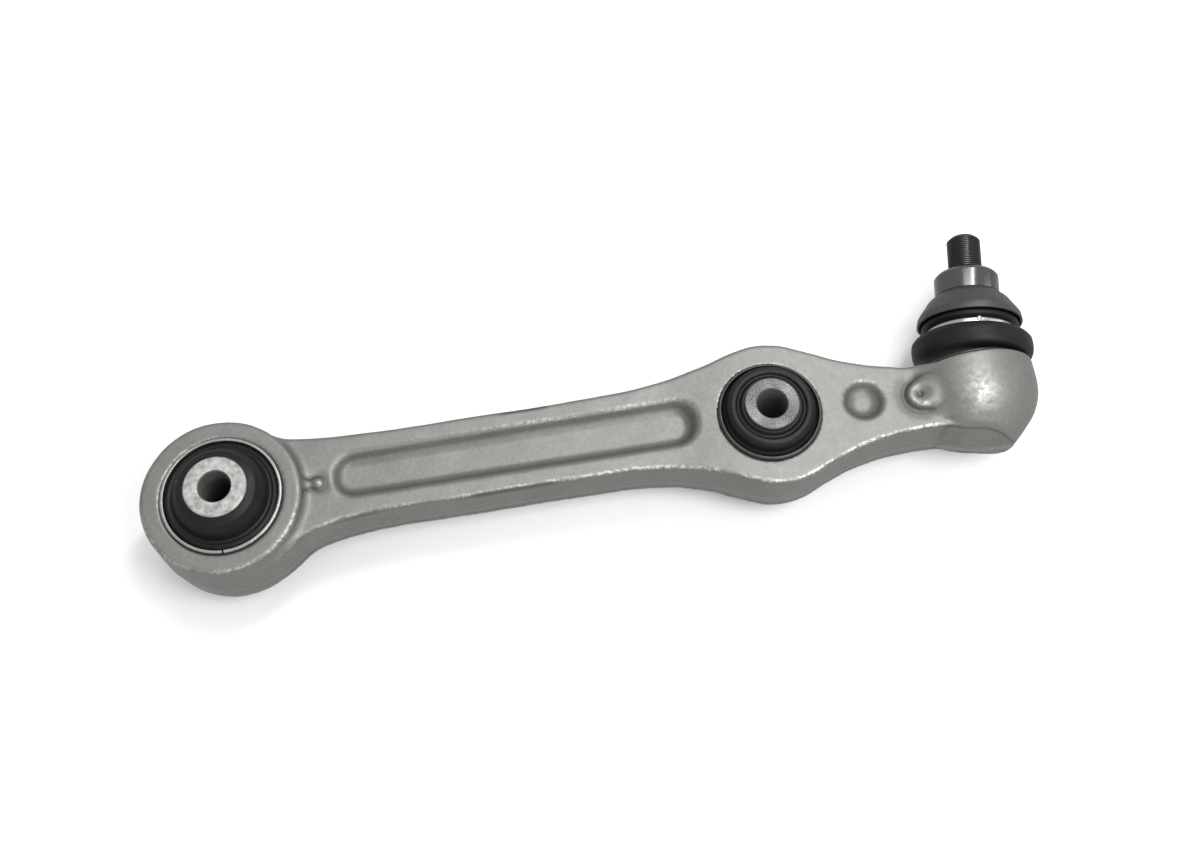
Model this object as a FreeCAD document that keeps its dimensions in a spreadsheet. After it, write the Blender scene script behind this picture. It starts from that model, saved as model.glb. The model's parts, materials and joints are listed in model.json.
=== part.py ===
"""Forged suspension control arm with two bonded bushes and a ball joint.

Millimetres. Origin at the centre of the inner bush bore, +Z along the bush axes,
+X towards the ball joint and +Y the side on which the ball stud stands.
"""
import FreeCAD, Part
import math
import os
import Sketcher

V = FreeCAD.Vector

# ---------------------------------------------------------------- driving sizes
SIZES = {
    # forging: inner ring
    "ring_radius": 37.2, "ring_x": -0.7, "ring_half": 20.0, "ring_edge": 2.2,
    "ring_draft": 2.0,
    "inner_bore": 27.2, "inner_mouth": 1.1,
    # forging: beam, middle boss and neck, as heights above and below the parting plane
    "beam_half": 14.0, "boss_half": 16.4, "draft": 5.0,
    "web_left": -35.5, "web_x": 20.0, "web_low": -33.0, "web_round": 12.0,
    "root_low_x": 34.5, "root_low": -22.0, "root_round": 20.0,
    "root_top_left": 29.5, "root_top_x": 34.0, "root_top": 26.3,
    "beam_root_top": 24.0, "beam_root_low": -15.6, "beam_start": 60.0,
    "beam_end": 190.0, "beam_end_top": 29.4, "beam_end_low": -11.0,
    "gusset_left_top_x": 222.0, "gusset_left_top": 35.8, "gusset_left_low_x": 221.0,
    "gusset_left_low": -16.8, "boss_top": 43.4, "boss_low": -27.8,
    "boss_top_left_x": 241.0, "boss_top_right_x": 257.0,
    "boss_low_left_x": 246.0, "boss_low_right_x": 262.0,
    "gusset_right_x": 300.0, "gusset_right_top": 25.6, "gusset_right_low": -11.9,
    "neck_end_x": 325.4, "neck_top": 20.3, "neck_low": -8.6,
    "step_x": 229.0, "step_low": -19.8, "step_top": 37.8, "gusset_round": 60.0,
    "boss_round": 24.0, "edge_round": 2.6,
    # forging: beam pocket on both faces
    "pocket_left": 47.3, "pocket_right": 218.2, "pocket_left_mid": 4.6, "pocket_right_mid": 9.5,
    "pocket_left_width": 25.2, "pocket_right_width": 26.4, "pocket_depth": 5.0,
    "pocket_slope": 40.0, "pocket_round": 12.2,
    # forging: small forged marks
    "dimple_x": 294.6, "dimple_y": 8.0, "dimple_radius": 10.4, "dimple_depth": 5.0,
    "dimple_slope": 40.0, "pip_x": 321.0, "pip_y": 7.0, "pip_radius": 7.4, "pip_height": 3.4,
    "pip_pit": 3.4, "nub_x": 42.2, "nub_y": 2.3, "nub_radius": 3.4, "nub_height": 1.8,
    "mark_slope": 30.0,
    # forging: ball-joint housing, a body of revolution about +Y through the ball centre
    "ball_x": 350.0, "ball_y": 2.0, "housing_radius": 30.5, "housing_rim": 20.5,
    "housing_shoulder": 0.7, "housing_floor": -18.5, "housing_floor_radius": 13.0,
    "keel_slope": 0.3, "keel_left": 30.0, "keel_right": 34.0, "keel_depth": 12.0,
    "housing_rim_round": 2.0, "housing_side_round": 18.0, "housing_floor_round": 6.0,
    "spigot_radius": 22.0, "spigot_top": 24.0, "seat_outer": 16.0, "seat_top": 8.3,
    "retainer_radius": 18.5, "retainer_top": 13.0, "mouth_radius": 12.6, "mouth_slope": 0.45,
    # inner bush
    "outer_wall": 1.5, "inner_outer_half": 21.2, "seam_width": 0.8,
    "inner_tube": 14.0, "inner_half": 32.5, "bolt_bore": 7.1, "tube_chamfer": 0.5,
    "bond_gap": 0.05, "inner_rubber_skirt": 19.6, "inner_ridge_radius": 23.6,
    "inner_ridge_top": 21.2, "inner_valley_radius": 21.6, "inner_valley": 20.2,
    "inner_shoulder_radius": 18.4, "inner_shoulder": 29.4, "inner_rubber_top": 31.4,
    # middle bush
    "damper_x": 250.5, "damper_y": 8.0, "damper_bore": 23.8, "damper_outer_half": 18.3,
    "damper_wall": 1.4, "damper_tube": 12.6, "damper_half": 27.0,
    "damper_skirt": 17.2, "damper_ridge_radius": 18.2, "damper_ridge": 24.2,
    "damper_valley_radius": 15.6, "damper_valley": 23.4, "damper_rubber_top": 25.0,
    # ball stud: distances run from the ball centre along the stud axis
    "lean_x": 8.4, "lean_z": 4.0, "ball_radius": 14.0, "ball_flat": 11.6, "neck_radius": 8.0,
    "shank_radius": 9.0, "shank_start": 42.0, "collar_radius": 15.3, "collar_start": 57.8,
    "collar_end": 69.0, "collar_chamfer": 1.6, "thread_radius": 8.0, "thread_end": 89.0,
    "tip_chamfer": 2.0, "socket_flats": 8.0, "socket_depth": 8.0, "ball_play": 0.05,
    # boot, its rings and the pressed shield
    "boot_wall": 2.0, "boot_foot": 24.4, "boot_bulge": 28.6, "boot_bulge_at": 30.0,
    "waist_radius": 21.0, "waist_at": 38.0, "waist_height": 2.4, "waist_wall": 1.2,
    "boot_neck": 13.0, "boot_neck_at": 47.0, "boot_lip_end": 53.0,
    "clamp_wire": 0.8, "clamp_foot_at": 22.2, "top_clamp_at": 50.0, "top_clamp_radius": 13.4,
    "top_clamp_wall": 1.0, "top_clamp_height": 3.0, "lip_radius": 9.4,
    "shield_rim": 24.9, "shield_rim_at": 42.8, "shield_side_at": 46.3, "shield_side": 24.4,
    "shield_dome": 19.2, "shield_dome_at": 54.2, "shield_top": 15.0, "shield_wall": 1.2,
}


class Size:
    """A number together with the spreadsheet expression that gives it."""

    def __init__(self, value, text):
        self.value = float(value)
        self.text = text

    @staticmethod
    def of(other):
        return other if isinstance(other, Size) else Size(other, repr(float(other)))

    def __add__(self, other):
        other = Size.of(other)
        return Size(self.value + other.value, f"({self.text} + {other.text})")

    def __sub__(self, other):
        other = Size.of(other)
        return Size(self.value - other.value, f"({self.text} - {other.text})")

    def __mul__(self, other):
        other = Size.of(other)
        return Size(self.value * other.value, f"({self.text} * {other.text})")

    def __neg__(self):
        return Size(-self.value, f"(-1 * {self.text})")

    __radd__ = __add__
    __rmul__ = __mul__


class Dimensions:
    """Spreadsheet cells by name: dim.ring_radius is the cell ring_radius."""

    def __init__(self, doc):
        sheet = doc.addObject("Spreadsheet::Sheet", "Dims")
        for row, (name, value) in enumerate(SIZES.items(), start=1):
            sheet.set(f"A{row}", name)
            sheet.set(f"B{row}", str(value))
            sheet.setAlias(f"B{row}", name)
            setattr(self, name, Size(value, f"Dims.{name}"))
        doc.recompute()


doc = FreeCAD.newDocument("control_arm")
dim = Dimensions(doc)
nodes = []
ZERO = Size(0, "0")


# ---------------------------------------------------------------- helpers
def new_body(label):
    body = doc.addObject("PartDesign::Body", label)
    body.Label = label
    nodes.append(body)
    return body


def bind(feature, **sizes):
    for name, size in sizes.items():
        feature.setExpression(name, Size.of(size).text)


def sketch_on(body, role, name, lift=None):
    """A sketch on one of the body's own origin planes, lifted along its normal."""
    sketch = body.newObject("Sketcher::SketchObject", name)
    plane = [item for item in body.Origin.OriginFeatures if item.Role == role][0]
    sketch.AttachmentSupport = [(plane, "")]
    sketch.MapMode = "FlatFace"
    if lift is not None:
        sketch.setExpression("AttachmentOffset.Base.z", lift.text)
    return sketch


def place_point(sketch, geometry, position, corner):
    """Fix one end of an edge, or a circle's centre, at a corner's x and y."""
    for kind, size in (("DistanceX", corner[0]), ("DistanceY", corner[1])):
        size = Size.of(size)
        index = sketch.addConstraint(
            Sketcher.Constraint(kind, -1, 1, geometry, position, size.value))
        sketch.setExpression(f"Constraints[{index}]", size.text)


def add_polygon(sketch, corners):
    """Closed outline of (x, y) or (x, y, corner radius), all bound to the sheet."""
    points = [V(Size.of(c[0]).value, Size.of(c[1]).value, 0) for c in corners]
    first = sketch.GeometryCount
    count = len(corners)
    for index in range(count):
        line = Part.LineSegment(points[index], points[(index + 1) % count])
        sketch.addGeometry(line, False)
    for index in range(count):
        following = first + (index + 1) % count
        sketch.addConstraint(
            Sketcher.Constraint("Coincident", first + index, 2, following, 1))
    for index, corner in enumerate(corners):
        place_point(sketch, first + index, 1, corner)
    for index, corner in enumerate(corners):
        if len(corner) > 2:
            radius = Size.of(corner[2])
            sketch.fillet(first + index, 1, radius.value, True, True)
            arc = [g for g in range(sketch.GeometryCount)
                   if isinstance(sketch.Geometry[g], Part.ArcOfCircle)][-1]
            item = sketch.addConstraint(Sketcher.Constraint("Radius", arc, radius.value))
            sketch.setExpression(f"Constraints[{item}]", radius.text)


def add_circle(sketch, radius, centre=(ZERO, ZERO)):
    radius = Size.of(radius)
    middle = V(Size.of(centre[0]).value, Size.of(centre[1]).value, 0)
    index = sketch.addGeometry(Part.Circle(middle, V(0, 0, 1), radius.value), False)
    place_point(sketch, index, 3, centre)
    item = sketch.addConstraint(Sketcher.Constraint("Radius", index, radius.value))
    sketch.setExpression(f"Constraints[{item}]", radius.text)


def pad_both_ways(body, name, sketch, half, draft=None):
    """Pad above and below the sketch plane, drafted inwards from that plane."""
    pad = body.newObject("PartDesign::Pad", name)
    pad.Profile = sketch
    pad.SideType = "Two sides"
    bind(pad, Length=half, Length2=half)
    if draft is not None:
        bind(pad, TaperAngle=-draft, TaperAngle2=-draft)
    return pad


def revolve(body, name, corners, cut=False, role="XZ_Plane"):
    """Revolution, or groove, of an outline about the sketch's vertical axis."""
    sketch = sketch_on(body, role, f"{name}_sketch")
    add_polygon(sketch, corners)
    feature = body.newObject("PartDesign::Groove" if cut else "PartDesign::Revolution", name)
    feature.Profile = sketch
    feature.ReferenceAxis = (sketch, ["V_Axis"])
    feature.Angle = 360.0
    doc.recompute()
    return feature


def round_edges(body, name, wanted, radius, kind="Fillet"):
    """Fillet or chamfer every edge of the body that the test wanted(edge) picks."""
    doc.recompute()
    picked = [f"Edge{number}" for number, edge in enumerate(body.Shape.Edges, start=1)
              if wanted(edge)]
    if not picked:
        raise RuntimeError(f"{name}: no edge found")
    base = body.Tip
    feature = body.newObject(f"PartDesign::{kind}", name)
    feature.Base = (base, picked)
    bind(feature, **{"Radius" if kind == "Fillet" else "Size": radius})
    doc.recompute()
    return feature


def circle_at(radius, height, centre=(0.0, 0.0)):
    """Test for a round edge about a vertical axis, above or below the middle plane."""
    def test(edge):
        curve = edge.Curve
        return (isinstance(curve, Part.Circle)
                and abs(curve.Radius - radius) < 0.01
                and abs(abs(curve.Center.z) - height) < 0.01
                and math.hypot(curve.Center.x - centre[0], curve.Center.y - centre[1]) < 0.01)
    return test


def check_cut(body, before, what):
    """A pocket or groove that points away from the solid removes nothing."""
    doc.recompute()
    if not body.Shape.Volume < before - 1.0:
        raise RuntimeError(f"{what} removed nothing")


def mirror_profile(upper):
    """Outline of a body symmetric about z = 0, from its upper half, outside to inside."""
    lower = [(corner[0], -Size.of(corner[1])) + tuple(corner[2:]) for corner in reversed(upper)]
    return list(upper) + lower


# ---------------------------------------------------------------- forging
def boss_edge():
    """Edge of the middle boss and neck, anticlockwise from the boss's lower left."""
    return [
        (dim.boss_low_left_x, dim.boss_low, dim.boss_round),
        (dim.boss_low_right_x, dim.boss_low, dim.boss_round),
        (dim.gusset_right_x, dim.gusset_right_low, dim.gusset_round),
        (dim.ball_x, dim.neck_low), (dim.ball_x, dim.neck_top),
        (dim.neck_end_x, dim.neck_top),
        (dim.gusset_right_x, dim.gusset_right_top, dim.gusset_round),
        (dim.boss_top_right_x, dim.boss_top, dim.boss_round),
        (dim.boss_top_left_x, dim.boss_top, dim.boss_round)]


def arm_outline():
    """The whole arm seen along the bush axes, without the ring and the housing."""
    low_edge = [
        (ZERO, dim.web_left), (dim.web_x, dim.web_low, dim.web_round),
        (dim.root_low_x, dim.root_low, dim.root_round),
        (dim.beam_start, dim.beam_root_low, dim.gusset_round),
        (dim.beam_end, dim.beam_end_low, dim.gusset_round),
        (dim.gusset_left_low_x, dim.gusset_left_low, dim.boss_round)]
    top_edge = [
        (dim.gusset_left_top_x, dim.gusset_left_top, dim.gusset_round),
        (dim.beam_end, dim.beam_end_top, dim.gusset_round),
        (dim.beam_start, dim.beam_root_top, dim.gusset_round),
        (dim.root_top_x, dim.root_top, dim.root_round), (ZERO, dim.root_top_left)]
    return low_edge + boss_edge() + top_edge


def thick_outline():
    """The thicker stretch of the arm, which steps up from the beam."""
    return [(dim.step_x, dim.step_low)] + boss_edge() + [(dim.step_x, dim.step_top)]


def drafted_plate(body, name, corners, half):
    """A plate drafted from the parting plane, with die radii round both faces."""
    sketch = sketch_on(body, "XY_Plane", f"{name}_outline")
    add_polygon(sketch, corners)
    pad_both_ways(body, name, sketch, half, dim.draft)
    doc.recompute()
    round_edges(body, f"{name}_round", flat_at(half.value), dim.edge_round)


def flat_at(height):
    """Test for an edge that lies in the face at this height above or below z = 0."""
    def test(edge):
        box = edge.BoundBox
        return box.ZLength < 0.01 and abs(abs(box.ZMax) - height) < 0.01
    return test


def make_forging():
    body = new_body("arm_forging")
    drafted_plate(body, "beam", arm_outline(), dim.beam_half)
    drafted_plate(body, "boss", thick_outline(), dim.boss_half)
    ring = sketch_on(body, "XY_Plane", "ring_outline")
    add_circle(ring, dim.ring_radius, (dim.ring_x, ZERO))
    pad_both_ways(body, "ring", ring, dim.ring_half, dim.ring_draft)
    doc.recompute()
    return body


def add_housing(body):
    """Ball-joint housing: a body of revolution about +Y, with a spigot for the boot."""
    sketch = sketch_on(body, "XY_Plane", "housing_outline")
    x, y = dim.ball_x, dim.ball_y
    add_polygon(sketch, [
        (x, dim.housing_floor),
        (x + dim.housing_floor_radius, dim.housing_floor, dim.housing_floor_round),
        (x + dim.housing_radius, dim.housing_shoulder, dim.housing_side_round),
        (x + dim.housing_radius, dim.housing_rim, dim.housing_rim_round),
        (x + dim.spigot_radius, dim.housing_rim), (x + dim.spigot_radius, dim.spigot_top),
        (x, dim.spigot_top)])
    housing = body.newObject("PartDesign::Revolution", "housing")
    turn_about_ball_axis(sketch, housing)
    cut_keel(body)
    before = body.Shape.Volume
    cavity = sketch_on(body, "XY_Plane", "cavity_outline")
    mouth_top = dim.mouth_radius + (dim.spigot_top - dim.seat_top + 1) * dim.mouth_slope
    ring_top = dim.mouth_radius + (dim.retainer_top - dim.seat_top) * dim.mouth_slope
    add_polygon(cavity, [
        (x, y - dim.seat_outer), (x + dim.seat_outer, y - dim.seat_outer, dim.seat_outer * 0.98),
        (x + dim.seat_outer, dim.seat_top), (x + dim.retainer_radius, dim.seat_top),
        (x + dim.retainer_radius, dim.retainer_top), (x + ring_top, dim.retainer_top),
        (x + mouth_top, dim.spigot_top + 1), (x, dim.spigot_top + 1)])
    groove = body.newObject("PartDesign::Groove", "cavity")
    turn_about_ball_axis(cavity, groove)
    check_cut(body, before, "ball cavity")


def cut_keel(body):
    """Underside of the housing: two drafted flats that meet at the parting plane."""
    before = body.Shape.Volume
    sketch = sketch_on(body, "YZ_Plane", "keel_outline", dim.ball_x)
    floor, reach = dim.housing_floor, dim.housing_radius
    high, deep = floor + reach * dim.keel_slope, floor - dim.keel_depth
    add_polygon(sketch, [(floor, ZERO), (high, reach), (deep, reach), (deep, -reach),
                         (high, -reach)])
    keel = body.newObject("PartDesign::Pocket", "keel")
    keel.Profile = sketch
    keel.SideType = "Two sides"
    bind(keel, Length=dim.keel_left, Length2=dim.keel_right)
    check_cut(body, before, "housing underside")


def turn_about_ball_axis(sketch, feature):
    """Full turn about a construction line that this adds on the ball axis."""
    axis = sketch.addGeometry(Part.LineSegment(V(dim.ball_x.value, 0, 0),
                                               V(dim.ball_x.value, 1, 0)), True)
    place_point(sketch, axis, 1, (dim.ball_x, ZERO))
    place_point(sketch, axis, 2, (dim.ball_x, Size(1, "1")))
    feature.Profile = sketch
    feature.ReferenceAxis = (sketch, ["Axis0"])
    feature.Angle = 360.0
    doc.recompute()


def cut_bores(body):
    before = body.Shape.Volume
    bores = sketch_on(body, "XY_Plane", "bush_bores")
    add_circle(bores, dim.inner_bore)
    add_circle(bores, dim.damper_bore, (dim.damper_x, dim.damper_y))
    pocket = body.newObject("PartDesign::Pocket", "bores")
    pocket.Profile = bores
    pocket.SideType = "Symmetric"
    pocket.Type = "ThroughAll"
    check_cut(body, before, "bush bores")
    round_edges(body, "bore_mouth", circle_at(dim.inner_bore.value, dim.ring_half.value),
                dim.inner_mouth, "Chamfer")


def cut_beam_pocket(body):
    """Long sunk panel that makes the beam an I-section, on both faces."""
    left_low = dim.pocket_left_mid - dim.pocket_left_width * 0.5
    left_top = dim.pocket_left_mid + dim.pocket_left_width * 0.5
    right_low = dim.pocket_right_mid - dim.pocket_right_width * 0.5
    right_top = dim.pocket_right_mid + dim.pocket_right_width * 0.5
    for side, face in ((1, "front"), (-1, "back")):
        before = body.Shape.Volume
        panel = sketch_on(body, "XY_Plane", f"{face}_panel", dim.boss_half * side)
        add_polygon(panel, [
            (dim.pocket_left, left_low, dim.pocket_round),
            (dim.pocket_right, right_low, dim.pocket_round),
            (dim.pocket_right, right_top, dim.pocket_round),
            (dim.pocket_left, left_top, dim.pocket_round)])
        sink(body, f"{face}_pocket", panel, side,
             dim.boss_half - dim.beam_half + dim.pocket_depth, dim.pocket_slope)
        check_cut(body, before, f"{face} pocket")


def sink(body, name, sketch, side, depth, slope):
    """Pocket from a sketch on a face down into the solid, its walls sloping inwards."""
    pocket = body.newObject("PartDesign::Pocket", name)
    pocket.Profile = sketch
    pocket.Reversed = side < 0
    bind(pocket, Length=depth, TaperAngle=-slope)
    return pocket


def cut_dimples(body):
    for side, face in ((1, "front"), (-1, "back")):
        before = body.Shape.Volume
        sketch = sketch_on(body, "XY_Plane", f"{face}_dimple_circle", dim.boss_half * side)
        add_circle(sketch, dim.dimple_radius, (dim.dimple_x, dim.dimple_y))
        sink(body, f"{face}_dimple", sketch, side, dim.dimple_depth, dim.dimple_slope)
        check_cut(body, before, f"{face} dimple")


def add_forged_marks(body):
    """A pip with a pit beside the housing and a small nub beside the ring."""
    for name, x, y, radius, floor, height in (
            ("pip", dim.pip_x, dim.pip_y, dim.pip_radius, dim.boss_half, dim.pip_height),
            ("nub", dim.nub_x, dim.nub_y, dim.nub_radius, dim.beam_half, dim.nub_height)):
        sketch = sketch_on(body, "XY_Plane", f"{name}_circle", floor)
        add_circle(sketch, radius, (x, y))
        pad = body.newObject("PartDesign::Pad", name)
        pad.Profile = sketch
        bind(pad, Length=height, TaperAngle=-dim.mark_slope)
        doc.recompute()
    before = body.Shape.Volume
    top = dim.boss_half + dim.pip_height
    pit = sketch_on(body, "XY_Plane", "pit_circle", top)
    add_circle(pit, dim.pip_pit, (dim.pip_x, dim.pip_y))
    sink(body, "pip_pit", pit, 1, dim.pip_pit * 0.8, dim.dimple_slope)
    check_cut(body, before, "pip pit")


def round_forging(body):
    """Die radii on the ring and along the beam's outer edges."""
    ring_edge = dim.ring_radius.value - dim.ring_half.value * math.tan(
        math.radians(dim.ring_draft.value))
    outer = circle_at(ring_edge, dim.ring_half.value, (dim.ring_x.value, 0.0))
    round_edges(body, "ring_round", outer, dim.ring_edge)


# ---------------------------------------------------------------- bushes
def tube(label, inner, outer, half):
    """Plain tube about its own Z axis, centred on z = 0."""
    body = new_body(label)
    revolve(body, label + "_wall",
            [(inner, -half), (outer, -half), (outer, half), (inner, half)])
    return body


def bush_tube(label, radius, half):
    """Thick inner sleeve of a bush, its ends and bolt bore chamfered."""
    body = tube(label, dim.bolt_bore, radius, half)

    def at_end(edge):
        return (circle_at(dim.bolt_bore.value, half.value)(edge)
                or circle_at(radius.value, half.value)(edge))
    round_edges(body, label + "_chamfer", at_end, dim.tube_chamfer, "Chamfer")
    return body


def bush_rubber(label, upper):
    """Bonded rubber, symmetric about its middle plane."""
    body = new_body(label)
    revolve(body, label + "_section", mirror_profile(upper))
    return body


def make_inner_bush():
    sleeve = tube("inner_bush_outer_sleeve", dim.inner_bore - dim.outer_wall, dim.inner_bore,
                  dim.inner_outer_half)
    before = sleeve.Shape.Volume
    sketch = sketch_on(sleeve, "XY_Plane", "seam")
    half_seam = dim.seam_width * 0.5
    add_polygon(sketch, [
        (-half_seam, -dim.inner_bore * 1.1), (half_seam, -dim.inner_bore * 1.1),
        (half_seam, -dim.inner_bore * 0.9), (-half_seam, -dim.inner_bore * 0.9)])
    pocket = sleeve.newObject("PartDesign::Pocket", "seam_slot")
    pocket.Profile = sketch
    pocket.SideType = "Symmetric"
    pocket.Type = "ThroughAll"
    check_cut(sleeve, before, "sleeve seam")
    bush_rubber("inner_bush_rubber", [
        (dim.inner_bore - dim.outer_wall, dim.inner_rubber_skirt),
        (dim.inner_ridge_radius, dim.inner_ridge_top, 0.8),
        (dim.inner_valley_radius, dim.inner_valley, 0.8),
        (dim.inner_shoulder_radius, dim.inner_shoulder, 2.0),
        (dim.inner_tube + dim.bond_gap, dim.inner_rubber_top)])
    bush_tube("inner_bush_inner_sleeve", dim.inner_tube, dim.inner_half)


def make_damper_bush():
    sleeve = tube("damper_bush_outer_sleeve", dim.damper_bore - dim.damper_wall,
                  dim.damper_bore, dim.damper_outer_half)
    round_edges(sleeve, "rolled_edge",
                circle_at(dim.damper_bore.value, dim.damper_outer_half.value), 0.7)
    rubber = bush_rubber("damper_bush_rubber", [
        (dim.damper_bore - dim.damper_wall, dim.damper_skirt),
        (dim.damper_ridge_radius + 2.4, dim.damper_skirt + 1, 0.8),
        (dim.damper_ridge_radius + 1.2, dim.damper_ridge, 1.8),
        (dim.damper_valley_radius, dim.damper_valley, 0.8),
        (dim.damper_tube + dim.bond_gap, dim.damper_rubber_top)])
    tube_body = bush_tube("damper_bush_inner_sleeve", dim.damper_tube, dim.damper_half)
    for body in (sleeve, rubber, tube_body):
        body.setExpression("Placement.Base.x", dim.damper_x.text)
        body.setExpression("Placement.Base.y", dim.damper_y.text)


# ---------------------------------------------------------------- ball joint
def on_ball_axis(body, leaning):
    """Turn the body's own +Z to +Y through the ball centre, or on to the leaning stud."""
    centre = f"create(<<vector>>; {dim.ball_x.text}; {dim.ball_y.text}; 0)"
    about_x = "create(<<rotation>>; create(<<vector>>; 1; 0; 0); {0})"
    about_z = "create(<<rotation>>; create(<<vector>>; 0; 0; 1); {0})"
    turn = about_x.format("-90")
    if leaning:
        turn = (about_z.format(f"-1 * {dim.lean_x.text}") + " * "
                + about_x.format(f"{dim.lean_z.text} - 90"))
    body.setExpression("Placement", f"create(<<placement>>; {centre}; {turn})")


def make_seat():
    seat = new_body("ball_seat")
    top = dim.seat_top - dim.ball_y
    revolve(seat, "seat_shell", [
        (ZERO, -dim.seat_outer), (dim.seat_outer, -dim.seat_outer, dim.seat_outer * 0.98),
        (dim.seat_outer, top), (ZERO, top)])
    before = seat.Shape.Volume
    hollow = seat.newObject("PartDesign::SubtractiveSphere", "ball_pocket")
    bind(hollow, Radius=dim.ball_radius + dim.ball_play)
    check_cut(seat, before, "ball pocket")
    on_ball_axis(seat, leaning=False)

    retainer = new_body("seat_retaining_ring")
    low, high = dim.seat_top - dim.ball_y, dim.retainer_top - dim.ball_y
    flare = dim.mouth_radius + (dim.retainer_top - dim.seat_top) * dim.mouth_slope
    revolve(retainer, "retainer_section", [
        (dim.mouth_radius, low), (dim.retainer_radius, low),
        (dim.retainer_radius, high), (flare, high)])
    on_ball_axis(retainer, leaning=False)


def wire_ring(label, ring_radius, wire_radius, height):
    body = new_body(label)
    sketch = sketch_on(body, "XZ_Plane", label + "_wire")
    add_circle(sketch, wire_radius, (ring_radius, height))
    ring = body.newObject("PartDesign::Revolution", label + "_turn")
    ring.Profile = sketch
    ring.ReferenceAxis = (sketch, ["V_Axis"])
    ring.Angle = 360.0
    doc.recompute()
    return body


def boot_sections():
    """Distance from the ball centre, outer radius and share of the stud's lean."""
    foot = dim.housing_rim - dim.ball_y + 0.1
    waist_low, waist_high = dim.waist_at - 1.6, dim.waist_at + 1.6
    waist = dim.waist_radius - dim.waist_wall - 0.1
    return [
        (foot, dim.boot_foot, 0.0), (foot + 3.0, dim.boot_foot, 0.0),
        (foot + 5.4, dim.boot_bulge - 1.4, 0.75),
        (dim.boot_bulge_at - 1.5, dim.boot_bulge, 1.0),
        (dim.boot_bulge_at + 1.5, dim.boot_bulge, 1.0),
        (dim.boot_bulge_at + 4.6, dim.boot_bulge - 1.4, 1.0),
        (waist_low, waist, 1.0), (waist_high, waist, 1.0),
        (dim.shield_rim_at - 0.5, dim.shield_rim - 2.2, 1.0),
        (dim.shield_rim_at + 1.8, dim.shield_rim - 3.4, 1.0),
        (dim.boot_neck_at, dim.boot_neck - 0.7, 1.0), (dim.boot_lip_end, dim.boot_neck - 0.7, 1.0)]


def section_circle(body, name, along, radius, share):
    """Circle about the boot's curved centre line, which bends towards the stud axis."""
    sketch = sketch_on(body, "XY_Plane", name)
    lean = "create(<<rotation>>; create(<<vector>>; {0}); {1} * {2})"
    turn = (lean.format("0; 1; 0", dim.lean_x.text, share) + " * "
            + lean.format("1; 0; 0", dim.lean_z.text, share))
    rise = (f"create(<<placement>>; create(<<vector>>; 0; 0; {along.text}); "
            + lean.format("0; 0; 1", "0", "0") + ")")
    sketch.setExpression(
        "AttachmentOffset",
        f"create(<<placement>>; create(<<vector>>; 0; 0; 0); {turn}) * {rise}")
    add_circle(sketch, radius)
    doc.recompute()
    return sketch


def make_boot():
    """Bellows: a loft through leaning circles, hollowed by the same loft one wall in."""
    boot = new_body("boot")
    sections = boot_sections()
    for kind, shrink, name in (("AdditiveLoft", ZERO, "outer"),
                               ("SubtractiveLoft", dim.boot_wall, "inner")):
        before = boot.Shape.Volume if kind == "SubtractiveLoft" else None
        circles = []
        for index, (along, radius, share) in enumerate(sections):
            first, last = index == 0, index == len(sections) - 1
            if before is not None:
                along = along - 1.0 if first else along + 1.0 if last else along
                radius = dim.lip_radius if last else radius - shrink
            circles.append(section_circle(boot, f"{name}_{index}", along, radius, share))
        loft = boot.newObject(f"PartDesign::{kind}", f"{name}_skin")
        loft.Profile = circles[0]
        loft.Sections = circles[1:]
        loft.Ruled = True
        doc.recompute()
        if before is not None:
            check_cut(boot, before, "boot inside")
    on_ball_axis(boot, leaning=False)


def make_boot_rings():
    lower = wire_ring("boot_lower_clamp", dim.boot_foot + dim.clamp_wire + 0.1, dim.clamp_wire,
                      dim.clamp_foot_at - dim.ball_y)
    on_ball_axis(lower, leaning=False)
    waist = new_body("boot_waist_ring")
    revolve(waist, "waist_section", ring_section(
        dim.waist_radius - dim.waist_wall, dim.waist_radius, dim.waist_at,
        dim.waist_height * 0.5))
    on_ball_axis(waist, leaning=True)
    upper = new_body("boot_upper_clamp")
    revolve(upper, "upper_section", ring_section(
        dim.top_clamp_radius - dim.top_clamp_wall, dim.top_clamp_radius, dim.top_clamp_at,
        dim.top_clamp_height * 0.5))
    on_ball_axis(upper, leaning=True)


def ring_section(inner, outer, middle, half):
    return [(inner, middle - half), (outer, middle - half),
            (outer, middle + half), (inner, middle + half)]


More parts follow.
